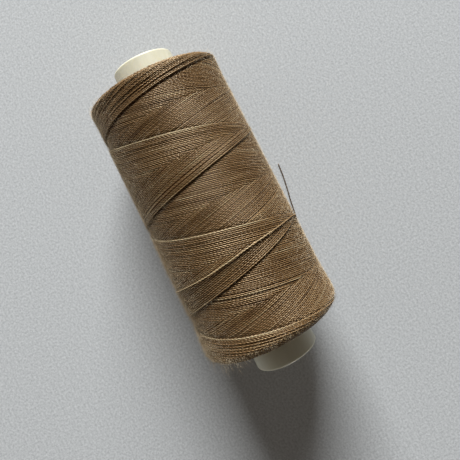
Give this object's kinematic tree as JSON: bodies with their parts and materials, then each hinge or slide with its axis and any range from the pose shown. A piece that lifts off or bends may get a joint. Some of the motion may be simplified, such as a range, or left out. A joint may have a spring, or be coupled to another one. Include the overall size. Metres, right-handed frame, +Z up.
{
  "type": "thread spool",
  "caption": "Cross-wound spool of tan spun thread on a plain open plastic tube, lying on its side with a short loose thread end.",
  "frame": {"origin": "on the table under the middle of the tube, with the spool lying on its side", "axes": "+X along the spool's axis, +Y to the side where the loose thread lies, +Z up"},
  "size_m": [0.0816, 0.0386, 0.035],
  "materials": {
    "tube_plastic": "satin moulded cream plastic",
    "thread": "matt hairy spun thread"
  },
  "bodies": {
    "root": {"spool_tube": "tube_plastic", "wound_thread_body": "thread", "outer_thread_winding": "thread", "thread_tail": "thread"}
  },
  "joints": []
}
